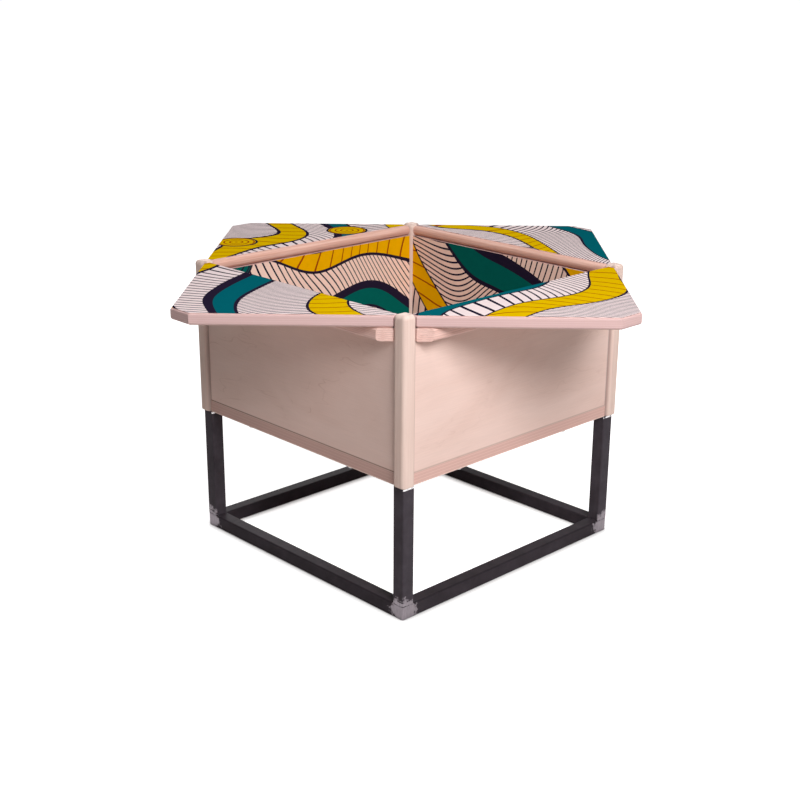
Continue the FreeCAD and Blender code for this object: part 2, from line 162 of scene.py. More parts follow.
@dataclass(frozen=True)
class Finish:
    """What every finish shares: its name, the start and end of its shader, and what it is drawn with."""

    name: str

    def start(self, part: str, turn: float = 0.0) -> tuple[Material, Tree, Node]:
        """Begin a material.

        Args:
            part: piece that the material is for, used in its name.
            turn: turn of the piece about Z in radians, which the coordinates take back.
        Returns:
            The material, its node tree, and the place on the piece in mm.
        """
        material = bpy.data.materials.new(self.name + "_" + part)
        material.use_nodes = True
        tree = material.node_tree
        tree.nodes.clear()
        at = add_node(tree, "TexCoord").outputs["Object"]
        place = add_node(tree, "Mapping", {"Scale": (PER_M,) * 3, "Rotation": (0, 0, -turn)}, at)
        return material, tree, place

    def close(self, tree: Tree, settings: dict, links: dict) -> None:
        """End a material with its shader.

        Args:
            tree: node tree of the material.
            settings: values of the shader that are the same all over.
            links: what feeds its other inputs.
        """
        shader = add_node(tree, "BsdfPrincipled", settings, links)
        add_node(tree, "OutputMaterial", links=shader)

    def stretched(self, tree: Tree, place: Source, size: Sequence[float], settings: dict,
                  shift: float = 0.0) -> Node:
        """Draw a noise that is longer one way than another.

        Args:
            tree: node tree of the material.
            place: place on the piece, in mm.
            size: size of the noise along each axis, in mm.
            settings: other values of the noise.
            shift: how far its pattern is shifted.
        Returns:
            The noise.
        """
        scale = [1 / length for length in size]
        at = add_node(tree, "Mapping", {"Scale": scale, "Location": (shift,) * 3}, place)
        return add_node(tree, "TexNoise", {"Scale": 1.0, **settings}, at)

    def uneven(self, tree: Tree, colour: Source, noise: Source, shades: Levels) -> Node:
        """Let a colour vary a little.

        Args:
            tree: node tree of the material.
            colour: colour that varies.
            noise: noise that it follows.
            shades: darkest and lightest shade, with 1 for the colour itself.
        Returns:
            The varied colour.
        """
        shade = add_node(tree, "MapRange", {"From": NOISE, "To": shades}, noise)
        return add_node(tree, "VectorMath.SCALE", links={0: colour, "Scale": shade})

    def shade_line(self, tree: Tree, colour: Source, off: Source, wide: float, weight: float,
                   ink: str) -> Node:
        """Draw the painted shadow line of a joint.

        Args:
            tree: node tree of the material.
            colour: colour that the line is drawn on.
            off: distance from the joint, in mm.
            wide: distance at which the line ends, in mm.
            weight: how strong the line is in its middle.
            ink: colour of the line.
        Returns:
            The colour with the line.
        """
        line = add_node(tree, "MapRange", {"From": (LINE_CORE * wide, wide), "To": (weight, 0.0)}, off)
        return add_node(tree, "Mix", {SECOND: linear(ink)}, {FACTOR: line, FIRST: colour})


@dataclass(frozen=True)
class OiledBirch(Finish):
    """What the birch finishes share: fine fibres, and a matt oiled surface that follows them."""

    fibre_shades: Levels = (0.97, 1.02)
    fibre_high: float = 0.05
    fibre_relief: float = 0.1
    roughness: float = 0.56
    rough_spread: float = 0.06
    specular: float = 0.3

    def oil(self, tree: Tree, wood: Source, fibre: Source) -> None:
        """End a material with its oiled surface.

        Args:
            tree: node tree of the material.
            wood: colour of the wood.
            fibre: fibres as a height.
        """
        ends = (self.roughness - self.rough_spread, self.roughness + self.rough_spread)
        rough = add_node(tree, "MapRange", {"To": ends}, fibre)
        bump = add_node(tree, "Bump", {"Strength": self.fibre_relief, "Distance": self.fibre_high * MM},
                        {"Height": fibre})
        self.close(tree, {"Specular IOR Level": self.specular},
                   {"Base Color": wood, "Roughness": rough, "Normal": bump})


@dataclass(frozen=True)
class BirchPlywood(OiledBirch):
    """Birch plywood, rotary-cut, sanded and oiled matt: a quiet cloudy face, and fine plies on its edges."""

    name: str = "birch_plywood"
    veneer_pale: str = "#ECD0C6"
    veneer_deep: str = "#E6C8BD"
    wisp: str = "#B88F80"
    ply_pale: str = "#DBBBB9"
    ply_deep: str = "#D6B4B1"
    glue: str = "#CAA19E"
    # joint and end: colours of the painted shadow lines at the foot of a sheet and where it meets a post
    joint: str = "#6E4232"
    end: str = "#8A7472"
    lipping: str = "#EABFB0"
    lipping_deep: str = "#D7A391"
    figure_long: float = 170.0      # soft clouds in the veneer
    figure_wide: float = 60.0
    figure_levels: Levels = (0.34, 0.68)
    wisp_long: float = 70.0         # thin wavy wisps in the deep clouds
    wisp_wide: float = 20.0
    wisp_weight: float = 0.3
    wisp_levels: Levels = (0.004, 0.024)
    wisp_clouds: Levels = (0.53, 0.63)
    fibre_long: float = 46.0
    fibre_wide: float = 1.4         # real fibres are finer and would not show
    ply: float = 1.5                # thickness of one ply
    face_share: float = 0.6         # the face veneer is thinner than a ply
    front_rear_shade: float = 1.0          # painted shade on the front and rear edges, 1 for none
    lipping_long: float = 120.0
    lipping_wide: float = 2.6       # real grain is finer and would not show
    lipping_levels: Levels = (0.34, 0.66)
    joint_shadow_wide: float = 1.5         # painted shadow line where a sheet stands on another
    joint_shadow_weight: float = 0.55
    end_shadow_wide: float = 2.2           # painted shadow line where a sheet meets a post
    end_shadow_weight: float = 0.6

    def veneer(self, tree: Tree, flat: Source) -> tuple[Node, Node]:
        """Draw the face veneer.

        Args:
            tree: node tree of the material.
            flat: place along and across the grain, in mm.
        Returns:
            The colour, and the fibres as a height.
        """
        figure = self.stretched(tree, flat, (self.figure_long, self.figure_wide, 1),
                                {"Detail": 4.0, "Roughness": 0.55, "Distortion": 1.2})
        tone = add_node(tree, "MapRange", {"From": self.figure_levels}, figure)
        clouds = add_node(tree, "Mix", {FIRST: linear(self.veneer_pale), SECOND: linear(self.veneer_deep)},
                          {FACTOR: tone})

        # Wisps are thin contour lines of a second noise, kept where the clouds are deep
        hills = self.stretched(tree, flat, (self.wisp_long, self.wisp_wide, 1),
                               {"Detail": 1.0, "Distortion": 0.8})
        off = add_node(tree, "Math.SUBTRACT", {1: 0.5}, hills)
        near = add_node(tree, "Math.ABSOLUTE", links=off)
        thread = add_node(tree, "MapRange", {"From": self.wisp_levels, "To": (self.wisp_weight, 0.0)}, near)
        deep = add_node(tree, "MapRange", {"From": self.wisp_clouds}, figure)
        wisp = add_node(tree, "Math.MULTIPLY", links={0: thread, 1: deep})
        drawn = add_node(tree, "Mix", {SECOND: linear(self.wisp)}, {FACTOR: wisp, FIRST: clouds})

        fibre = self.stretched(tree, flat, (self.fibre_long, self.fibre_wide, 1), {"Detail": 3.0})
        return self.uneven(tree, drawn, fibre, self.fibre_shades), fibre

    def plies(self, tree: Tree, place: Source, through: Source, low: float) -> Node:
        """Draw the plies on the edges, with painted shade on the front and rear edges.

        Args:
            tree: node tree of the material.
            place: place on the piece, in mm.
            through: place across the thickness, in mm.
            low: lower face of the sheet.
        Returns:
            The colour.
        """
        depth = add_node(tree, "MapRange", {"clamp": False, "From": (low, low + 2 * self.ply)}, through)
        pair = add_node(tree, "Math.FRACT", links=depth)

        # Each repeat is a pale and a deep ply, with a thin glue line before each
        glue, pale, deep = map(linear, (self.glue, self.ply_pale, self.ply_deep))
        stops = [(0.0, glue), (0.09, pale), (0.43, pale), (0.5, glue), (0.59, deep), (0.93, deep)]
        edge = add_node(tree, "ValToRGB", {"stops": stops}, pair)
        if self.front_rear_shade == 1.0:
            return edge
        # Painted shade: the front and rear edges are drawn darker
        fold = add_node(tree, "VectorMath.ABSOLUTE", links=place)
        sides = add_node(tree, "SeparateXYZ", links=fold)
        front_or_rear = add_node(tree, "Math.GREATER_THAN", links={0: sides.outputs["Y"], 1: sides.outputs["X"]})
        shade = add_node(tree, "MapRange", {"To": (1.0, self.front_rear_shade)}, front_or_rear)
        return add_node(tree, "VectorMath.SCALE", links={0: edge, "Scale": shade})

    def lip(self, tree: Tree, place: Source, across: Source, wood: Source, start: float) -> Node:
        """Close the hinge edge with a solid lipping.

        Args:
            tree: node tree of the material.
            place: place on the piece, in mm.
            across: place across the grain, in mm.
            wood: colour of the sheet.
            start: place across the grain from where on the lipping shows.
        Returns:
            The colour with the lipping.
        """
        strip = add_node(tree, "Math.GREATER_THAN", {1: start}, across)
        size = (self.lipping_long, self.lipping_wide, self.lipping_wide)
        lines = self.stretched(tree, place, size, {"Detail": 3.0})
        tone = add_node(tree, "MapRange", {"From": self.lipping_levels}, lines)
        solid = add_node(tree, "Mix", {FIRST: linear(self.lipping), SECOND: linear(self.lipping_deep)},
                         {FACTOR: tone})
        return add_node(tree, "Mix", links={FACTOR: strip, FIRST: wood, SECOND: solid})

    def material(self, part: str, lay: Lay, low: float, high: float, turn: float = 0.0, seed: float = 0.0,
                 joint: Optional[float] = None, ends: Optional[float] = None,
                 lipped: Optional[float] = None) -> Material:
        """Make the plywood of one piece.

        Args:
            part: piece that the material is for.
            lay: how the sheet lies.
            low: lower face of the sheet, across its thickness, in mm.
            high: upper face of the sheet.
            turn: turn of the piece about Z in radians.
            seed: shift that gives each sheet its own figure.
            joint: height of a joint that gets a painted shadow line, if there is one.
            ends: distance from the middle at which posts close the sheet, with a painted shadow line, if
                there are any.
            lipped: place from where on a solid lipping closes the edge, if there is one.
        Returns:
            The finished material.
        """
        material, tree, place = self.start(part, turn)
        axes = add_node(tree, "SeparateXYZ", links=place)
        along, across, through = (axes.outputs[axis] for axis in lay.value)
        flat = add_node(tree, "CombineXYZ", {"Z": seed}, {"X": along, "Y": across})
        face, fibre = self.veneer(tree, flat)
        edge = self.plies(tree, place, through, low)
        skin = self.face_share * self.ply
        above = add_node(tree, "Math.GREATER_THAN", {1: low + skin}, through)
        below = add_node(tree, "Math.LESS_THAN", {1: high - skin}, through)
        inside = add_node(tree, "Math.MULTIPLY", links={0: above, 1: below})
        wood = add_node(tree, "Mix", links={FACTOR: inside, FIRST: face, SECOND: edge})
        if lipped is not None:
            wood = self.lip(tree, place, across, wood, lipped)
        # Painted shadow lines at the foot of the sheet and where it meets the posts
        if joint is not None:
            off = add_node(tree, "Math.SUBTRACT", {1: joint}, axes.outputs["Z"])
            near = add_node(tree, "Math.ABSOLUTE", links=off)
            wood = self.shade_line(tree, wood, near, self.joint_shadow_wide, self.joint_shadow_weight, self.joint)
        if ends is not None:
            aside = add_node(tree, "Math.ABSOLUTE", links=along)
            near = add_node(tree, "Math.SUBTRACT", {0: ends}, {1: aside})
            wood = self.shade_line(tree, wood, near, self.end_shadow_wide, self.end_shadow_weight, self.end)
        self.oil(tree, wood, fibre)
        return material


@dataclass(frozen=True)
class SolidBirch(OiledBirch):
    """Solid birch, planed, rounded over and oiled matt: straight pale grain with faint growth lines."""

    name: str = "solid_birch"
    pale: str = "#EBD3C8"
    deep: str = "#E3C7BC"
    line: str = "#C7A595"
    # joint: colour of the painted shadow line where a wall meets the bar
    joint: str = "#8A7472"
    grain_long: float = 150.0
    grain_wide: float = 6.0
    grain_levels: Levels = (0.32, 0.7)
    fibre_wide: float = 1.1         # real fibres are finer and would not show
    ring: float = 2.6               # spacing of the growth lines
    ring_wander: float = 1.6        # how many spacings they wander with the grain
    line_share: float = 0.42        # share of the spacing over which a line fades
    line_weight: float = 0.12
    joint_shadow_wide: float = 5.6         # painted shadow line where a wall meets the bar
    joint_shadow_weight: float = 0.6
    roughness: float = 0.52

    def material(self, part: str, grain: Grain, turn: float = 0.0, seed: float = 0.0,
                 joints: tuple[Levels, ...] = ()) -> Material:
        """Make the wood of one bar.

        Args:
            part: piece that the material is for.
            grain: direction of the grain.
            turn: turn of the piece about Z in radians.
            seed: shift that gives each bar its own grain.
            joints: places in plan, in mm, at which a wall meets the bar and a painted shadow line runs.
        Returns:
            The finished material.
        """
        material, tree, place = self.start(part, turn)
        wide = [self.grain_wide if across else self.grain_long for across in grain.value]
        thin = [self.fibre_wide if across else self.grain_long for across in grain.value]
        tone = self.stretched(tree, place, wide, {"Detail": 3.0, "Distortion": 0.5}, seed)
        fibre = self.stretched(tree, place, thin, {"Detail": 3.0}, seed)
        shade = add_node(tree, "MapRange", {"From": self.grain_levels}, tone)
        body = add_node(tree, "Mix", {FIRST: linear(self.pale), SECOND: linear(self.deep)}, {FACTOR: shade})

        # Growth lines wander a little with the grain
        axes = add_node(tree, "SeparateXYZ", links=place)
        across = axes.outputs["Z" if grain is Grain.LENGTHWISE else "Y"]
        wander = add_node(tree, "Math.MULTIPLY_ADD", {1: self.ring_wander * self.ring}, {0: tone, 2: across})
        rings = add_node(tree, "Math.PINGPONG", {1: self.ring / 2}, wander)
        line = add_node(tree, "MapRange", {"From": (0.0, self.line_share * self.ring),
                                           "To": (self.line_weight, 0.0)}, rings)
        lined = add_node(tree, "Mix", {SECOND: linear(self.line)}, {FACTOR: line, FIRST: body})
        wood = self.uneven(tree, lined, fibre, self.fibre_shades)
        plan = add_node(tree, "VectorMath.MULTIPLY", {1: (1, 1, 0)}, place)
        # Painted shadow line where each wall meets the post
        for joint in joints:
            near = add_node(tree, "VectorMath.DISTANCE", {1: (*joint, 0)}, plan)
            wood = self.shade_line(tree, wood, near, self.joint_shadow_wide, self.joint_shadow_weight, self.joint)
        self.oil(tree, wood, fibre)
        return material


@dataclass(frozen=True)
class Hatch:
    """Parallel printed lines: their spacing in mm, the share of it that is inked, and their slant."""

    spacing: float
    share: float
    slant: float


@dataclass(frozen=True)
class PrintedSheet(Finish):
    """Paper printed in flat inks and sealed dead matt: wavy layers, hatched lines and ringed discs."""

    name: str = "printed_sheet"
    ground: str = "#EFDDDD"
    mustard: str = "#DDB400"
    rust: str = "#A03F0E"
    teal: str = "#03606B"
    navy: str = "#251D32"
    edge: str = "#DCBAB4"           # cut edge of the sheet
    repeat: float = 430.0           # one full run of layers
    warp: float = 210.0             # how far the layers swing
    warp_long: float = 300.0        # length of a swing
    close_hatch: Hatch = Hatch(10.5, 0.3, 0.6)
    open_hatch: Hatch = Hatch(14.0, 0.24, -0.7)
    veins: Hatch = Hatch(27.0, 0.1, 0.3)
    disc: float = 34.0              # radius of a disc
    disc_rim: float = 3.6
    disc_apart: float = 165.0
    disc_loose: float = 0.75        # how far the discs leave their grid
    disc_share: float = 0.55        # share of the cells that have a disc
    disc_picks: tuple[float, ...] = (0.0, 0.36, 0.72)
    ring: float = 9.0               # spacing of the rings in a disc
    ring_share: float = 0.26        # share of the spacing that is inked
    mottle: float = 9.0             # ink lies a little unevenly on the paper
    mottle_shades: Levels = (0.97, 1.03)
    roughness: Levels = (0.62, 0.78)
    specular: float = 0.0

    def layers(self) -> list[tuple[float, str, Drawn]]:
        """Width of each layer in mm, its ink, and what is drawn on it."""
        line = (4.0, self.navy, Drawn.PLAIN)
        return [line, (72.0, self.ground, Drawn.CLOSE), line, (52.0, self.mustard, Drawn.VEINS),
                line, (56.0, self.ground, Drawn.OPEN), line, (30.0, self.teal, Drawn.PLAIN),
                line, (78.0, self.ground, Drawn.CLOSE), line, (34.0, self.mustard, Drawn.VEINS),
                line, (52.0, self.ground, Drawn.OPEN), (16.0, self.navy, Drawn.PLAIN),
                (32.0, self.teal, Drawn.PLAIN)]

    def layered(self, tree: Tree, sheet: Source) -> Node:
        """Draw the wavy layers and the lines on them.

        Args:
            tree: node tree of the material.
            sheet: place on the printed run, in mm.
        Returns:
            The colour.
        """
        swing = add_node(tree, "TexNoise", {"noise_dimensions": "2D", "Scale": 1 / self.warp_long,
                                            "Detail": 0.6}, sheet)
        pull = add_node(tree, "VectorMath.MULTIPLY_ADD", {1: (self.warp,) * 3},
                        {0: swing.outputs["Color"], 2: sheet})
        bent = add_node(tree, "SeparateXYZ", links=pull)
        height = add_node(tree, "Math.DIVIDE", {1: self.repeat}, bent.outputs["Y"])
        run = add_node(tree, "Math.FRACT", links=height)

        # One colour ramp over the bent height has the inks, and a second one what is drawn on each layer
        layers = self.layers()
        total = sum(width for width, _, _ in layers)
        inks, masks, start = [], [], 0.0
        for width, ink, drawn in layers:
            inks.append((start / total, linear(ink)))
            masks.append((start / total, drawn.value))
            start += width
        colour = add_node(tree, "ValToRGB", {"steps": inks}, run)
        mask = add_node(tree, "ValToRGB", {"steps": masks}, run)
        channels = add_node(tree, "SeparateColor", links=mask)
        lines = ((self.close_hatch, self.navy), (self.open_hatch, self.navy), (self.veins, self.rust))
        for channel, (hatch, ink) in zip(channels.outputs, lines):
            side = add_node(tree, "Math.MULTIPLY_ADD", {1: hatch.slant},
                            {0: bent.outputs["Y"], 2: bent.outputs["X"]})
            count = add_node(tree, "Math.DIVIDE", {1: hatch.spacing}, side)
            between = add_node(tree, "Math.FRACT", links=count)
            dark = add_node(tree, "Math.LESS_THAN", {1: hatch.share}, between)
            line = add_node(tree, "Math.MULTIPLY", links={0: dark, 1: channel})
            colour = add_node(tree, "Mix", {SECOND: linear(ink)}, {FACTOR: line, FIRST: colour})
        return colour

    def with_discs(self, tree: Tree, sheet: Source, colour: Source) -> Node:
        """Lay ringed discs over the layers, in some cells of a loose grid.

        Args:
            tree: node tree of the material.
            sheet: place on the printed run, in mm.
            colour: colour of the layers.
        Returns:
            The colour with the discs.
        """
        cell = add_node(tree, "TexVoronoi", {"voronoi_dimensions": "2D", "Scale": 1 / self.disc_apart,
                                             "Randomness": self.disc_loose}, sheet)
        radius = add_node(tree, "Math.MULTIPLY", {1: self.disc_apart}, cell)
        pick = add_node(tree, "SeparateColor", links=cell.outputs["Color"])
        there = add_node(tree, "Math.LESS_THAN", {1: self.disc_share}, pick.outputs[0])
        within = add_node(tree, "Math.LESS_THAN", {1: self.disc}, radius)
        disc = add_node(tree, "Math.MULTIPLY", links={0: there, 1: within})
        choices = ((self.ground, self.mustard, self.teal), (self.navy, self.rust, self.navy))
        fill, mark = (add_node(tree, "ValToRGB", {"steps": list(zip(self.disc_picks, map(linear, inks)))},
                               pick.outputs[1]) for inks in choices)
        turns = add_node(tree, "Math.DIVIDE", {1: self.ring}, radius)
        between = add_node(tree, "Math.FRACT", links=turns)
        ring = add_node(tree, "Math.LESS_THAN", {1: self.ring_share}, between)
        ringed = add_node(tree, "Mix", links={FACTOR: ring, FIRST: fill, SECOND: mark})
        rim = add_node(tree, "Math.GREATER_THAN", {1: self.disc - self.disc_rim}, radius)
        rimmed = add_node(tree, "Mix", {SECOND: linear(self.navy)}, {FACTOR: rim, FIRST: ringed})
        return add_node(tree, "Mix", links={FACTOR: disc, FIRST: colour, SECOND: rimmed})

    def material(self, part: str, lay: Lay, turn: float, cut: Levels, lean: float) -> Material:
        """Make the print of one sheet.

        Args:
            part: piece that the material is for.
            lay: how the sheet lies.
            turn: turn of the piece about Z in radians.
            cut: where on the printed run this sheet was cut, in mm.
            lean: direction of the layers on the sheet, in radians.
        Returns:
            The finished material.
        """
        material, tree, place = self.start(part, turn)
        axes = add_node(tree, "SeparateXYZ", links=place)
        along, across, through = lay.value
        flat = add_node(tree, "CombineXYZ", links={"X": axes.outputs[along], "Y": axes.outputs[across]})
        sheet = add_node(tree, "Mapping", {"Location": (*cut, 0.0), "Rotation": (0, 0, lean)}, flat)
        design = self.with_discs(tree, sheet, self.layered(tree, sheet))

        # Only the two faces are printed, and the cut edge stays plain
        normal = add_node(tree, "Mapping", {"vector_type": "VECTOR", "Rotation": (0, 0, -turn)},
                          add_node(tree, "TexCoord").outputs["Normal"])
        facing = add_node(tree, "SeparateXYZ", links=normal)
        flatly = add_node(tree, "Math.ABSOLUTE", links=facing.outputs[through])
        printed = add_node(tree, "Math.GREATER_THAN", {1: 0.5}, flatly)
        faced = add_node(tree, "Mix", {FIRST: linear(self.edge)}, {FACTOR: printed, SECOND: design})
        mottle = add_node(tree, "TexNoise", {"Scale": 1 / self.mottle, "Detail": 3.0}, place)
        inked = self.uneven(tree, faced, mottle, self.mottle_shades)
        rough = add_node(tree, "MapRange", {"To": self.roughness}, mottle)
        self.close(tree, {"Specular IOR Level": self.specular}, {"Base Color": inked, "Roughness": rough})
        return material


@dataclass(frozen=True)
class MillScaleSteel(Finish):
    """Mild steel tube with dark mill scale, waxed, and ground bare at the welds, with a painted highlight at
    the top of the legs.
    """

    name: str = "mill_scale_steel"
    scale_dark: str = "#3D383D"
    scale_light: str = "#4B454C"
    bare: str = "#9A9298"
    bare_deep: str = "#70686E"
    seam: str = "#231E22"
    burr_highlight: str = "#F4F1F2"
    cloud: float = 26.0             # size of the clouds in the scale
    cloud_high: float = 0.1
    cloud_relief: float = 0.15
    patch_out: float = 31.0         # reach of the ground patch along a rail
    patch_up: float = 16.0          # reach above the seam
    patch_apart: float = 380.0      # one corner is ground further than the next
    patch_vary: float = 1.1
    patch_fray: float = 1.3
    patch_levels: Levels = (2.0, 2.15)
    skin: float = 2.6               # only the outer faces are ground
    fray: float = 7.0               # size of the frays in the outlines
    seam_gap: float = 6.0           # a second seam line above the first
    seam_wide: Levels = (0.4, 1.1)
    seam_levels: Levels = (0.44, 0.54)
    burr_and_glint: float = 2.4               # bright edge at the top of the legs: bare steel with a painted highlight
    burr_and_glint_levels: Levels = (0.38, 0.46)
    glint_facing: float = 0.3        # painted highlight: only on the faces to the right, toward the key light
    crease: float = 2.6             # dark line along the edge of a rail
    crease_weight: float = 0.6
    scratch_long: float = 11.0
    scratch_wide: float = 2.2       # real scratches are finer and would not show
    scratch_lean: float = 0.6
    roughness: Levels = (0.5, 0.42)     # of the scale, and of bare steel
    metallic: Levels = (0.0, 0.7)
    specular: float = 0.04

    def ground_patch(self, tree: Tree, place: Source, ragged: Source, out: float, seam_high: float) -> Node:
        """Mask of the steel that was ground bare round the welded corners.

        Args:
            tree: node tree of the material.
            place: place on the base, in mm.
            ragged: noise that breaks up the outline.
            out: outer faces of the base, from the middle.
            seam_high: height of the seam between legs and rails.
        Returns:
            Output that is 1 on bare steel.
        """
        fold = add_node(tree, "VectorMath.ABSOLUTE", links=place)
        half = seam_high / 2
        corner = add_node(tree, "VectorMath.SUBTRACT", {1: (out, out, half)}, fold)
        size = (self.patch_out, self.patch_out, self.patch_up + half)
        reach = add_node(tree, "VectorMath.DIVIDE", {1: size}, corner)
        far = add_node(tree, "VectorMath.LENGTH", links=reach)
        vary = add_node(tree, "TexNoise", {"Scale": 1 / self.patch_apart, "Detail": 0.0}, place)
        reached = add_node(tree, "Math.MULTIPLY_ADD", {1: self.patch_vary}, {0: vary, 2: far})
        frayed = add_node(tree, "Math.MULTIPLY_ADD", {1: self.patch_fray}, {0: ragged, 2: reached})
        ground = add_node(tree, "MapRange", {"From": self.patch_levels, "To": (1.0, 0.0)}, frayed)
        sides = add_node(tree, "SeparateXYZ", links=corner)
        nearest = add_node(tree, "Math.MAXIMUM", links={0: sides.outputs["X"], 1: sides.outputs["Y"]})
        outer = add_node(tree, "Math.GREATER_THAN", {1: -self.skin}, nearest)
        return add_node(tree, "Math.MULTIPLY", links={0: ground, 1: outer})

    def ground_steel(self, tree: Tree, place: Source, high: Source, ragged: Source, seam_high: float) -> Node:
        """Draw the bare steel, with scratches and what is left of the seam.

        Args:
            tree: node tree of the material.
            place: place on the base, in mm.
            high: height, in mm.
            ragged: noise that breaks up the seam.
            seam_high: height of the seam between legs and rails.
        Returns:
            The colour.
        """
        thin, lean = 1 / self.scratch_wide, self.scratch_lean
        drawn = add_node(tree, "Mapping", {"Scale": (thin, thin, 1 / self.scratch_long),
                                           "Rotation": (lean, lean, 0)}, place)
        scratch = add_node(tree, "TexNoise", {"Scale": 1.0, "Detail": 2.0}, drawn)
        bright = add_node(tree, "Mix", {FIRST: linear(self.bare_deep), SECOND: linear(self.bare)},
                          {FACTOR: scratch})

        # Two broken lines are left of the seam between leg and rail
        half = self.seam_gap / 2
        off = add_node(tree, "Math.SUBTRACT", {1: seam_high + half}, high)
        middle = add_node(tree, "Math.ABSOLUTE", links=off)
        aside = add_node(tree, "Math.SUBTRACT", {1: half}, middle)
        near = add_node(tree, "Math.ABSOLUTE", links=aside)
        line = add_node(tree, "MapRange", {"From": self.seam_wide, "To": (1.0, 0.0)}, near)
        broken = add_node(tree, "MapRange", {"From": self.seam_levels}, ragged)
        seam = add_node(tree, "Math.MULTIPLY", links={0: line, 1: broken})
        return add_node(tree, "Mix", {SECOND: linear(self.seam)}, {FACTOR: seam, FIRST: bright})

    def burr_highlight_mask(self, tree: Tree, high: Source, ragged: Source, top: float) -> Node:
        """Mask of the bright edge at the top of the legs: bare steel with a painted highlight.

        Args:
            tree: node tree of the material.
            high: height, in mm.
            ragged: noise that breaks up the bright edge.
            top: height of the legs.
        Returns:
            Output that is 1 on the bright edge.
        """
        edge = add_node(tree, "Math.GREATER_THAN", {1: top - self.burr_and_glint}, high)
        face = add_node(tree, "SeparateXYZ", links=add_node(tree, "TexCoord").outputs["Normal"])
        # Painted highlight: only faces toward the key light on the right get the bright edge
        right = add_node(tree, "Math.GREATER_THAN", {1: self.glint_facing}, face.outputs["X"])
        strip = add_node(tree, "Math.MULTIPLY", links={0: edge, 1: right})
        left = add_node(tree, "MapRange", {"From": self.burr_and_glint_levels}, ragged)
        return add_node(tree, "Math.MULTIPLY", links={0: strip, 1: left})

    def material(self, part: str, out: float, seam_high: float, top: float,
                 creased: bool = False) -> Material:
        """Make the steel of the base.

        Args:
            part: piece that the material is for.
            out: outer faces of the base, from the middle, in mm.
            seam_high: height of the seam between legs and rails, in mm.
            top: height of the legs, in mm.
            creased: True for a dark line along the upper outer edge, as on the rails.
        Returns:
            The finished material.
        """
        material, tree, place = self.start(part)
        high = add_node(tree, "SeparateXYZ", links=place).outputs["Z"]
        clouds = add_node(tree, "TexNoise", {"Scale": 1 / self.cloud, "Detail": 5.0, "Roughness": 0.6}, place)
        tone = add_node(tree, "MapRange", {"From": NOISE}, clouds)
        scale = add_node(tree, "Mix", {FIRST: linear(self.scale_dark), SECOND: linear(self.scale_light)},
                         {FACTOR: tone})
        if creased:
            fold = add_node(tree, "VectorMath.ABSOLUTE", links=place)
            sides = add_node(tree, "SeparateXYZ", links=fold)
            outer = add_node(tree, "Math.MAXIMUM", links={0: sides.outputs["X"], 1: sides.outputs["Y"]})
            reach = add_node(tree, "Math.ADD", links={0: outer, 1: sides.outputs["Z"]})
            off = add_node(tree, "Math.SUBTRACT", {0: out + seam_high}, {1: reach})
            scale = self.shade_line(tree, scale, off, self.crease, self.crease_weight, self.seam)
        ragged = add_node(tree, "TexNoise", {"Scale": 1 / self.fray, "Detail": 3.0, "Roughness": 0.7}, place)
        patch = self.ground_patch(tree, place, ragged, out, seam_high)
        bare = self.ground_steel(tree, place, high, ragged, seam_high)
        burr_and_glint = self.burr_highlight_mask(tree, high, ragged, top)
        # Bare steel at the top of the legs, painted near white as a highlight
        burr_highlight = add_node(tree, "Mix", {SECOND: linear(self.burr_highlight)}, {FACTOR: burr_and_glint, FIRST: bare})
        worn_and_glint = add_node(tree, "Math.MAXIMUM", links={0: patch, 1: burr_and_glint})
        metal = add_node(tree, "Mix", links={FACTOR: worn_and_glint, FIRST: scale, SECOND: burr_highlight})
        rough = add_node(tree, "MapRange", {"To": self.roughness}, worn_and_glint)
        shine = add_node(tree, "MapRange", {"To": self.metallic}, worn_and_glint)
        bump = add_node(tree, "Bump", {"Strength": self.cloud_relief, "Distance": self.cloud_high * MM},
                        {"Height": clouds})
        self.close(tree, {"Specular IOR Level": self.specular},
                   {"Base Color": metal, "Roughness": rough, "Metallic": shine, "Normal": bump})
        return material


@dataclass(frozen=True)
class DrawnSteel(Finish):
    """Bright drawn steel, turned: pins, pegs and screws, grey with a few dull spots."""

    name: str = "drawn_steel"
    bright: str = "#C9C7C6"
    dull: str = "#9A9694"
    spot: float = 3.0               # size of the dull spots
    roughness: Levels = (0.2, 0.45)     # of the bright steel, and of the dull spots

    def material(self, part: str) -> Material:
        """Make the steel of one set of small parts.

        Args:
            part: pieces that the material is for.
        Returns:
            The finished material.
        """
        material, tree, place = self.start(part)
        spots = add_node(tree, "TexNoise", {"Scale": 1 / self.spot, "Detail": 4.0}, place)
        tone = add_node(tree, "Mix", {FIRST: linear(self.bright), SECOND: linear(self.dull)}, {FACTOR: spots})
        rough = add_node(tree, "MapRange", {"To": self.roughness}, spots)
        self.close(tree, {"Metallic": 1.0}, {"Base Color": tone, "Roughness": rough})
        return material


def dress(node: str, material: Material) -> None:
    """Give a node of the frame its finish.

    Args:
        node: name of the node.
        material: finish that it gets.
    """
    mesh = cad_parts[node].data
    mesh.materials.clear()
    mesh.materials.append(material)
    LOG.info("%s: %s", node, material.name)


def span(node: str, axis: int) -> Levels:
    """Extent of a node of the frame along one axis.

    Args:
        node: name of the node.
        axis: 0, 1 or 2 for X, Y or Z.
    Returns:
        Lowest and highest place in millimetres.
    """
    low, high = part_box(node)
    return low[axis] * PER_M, high[axis] * PER_M


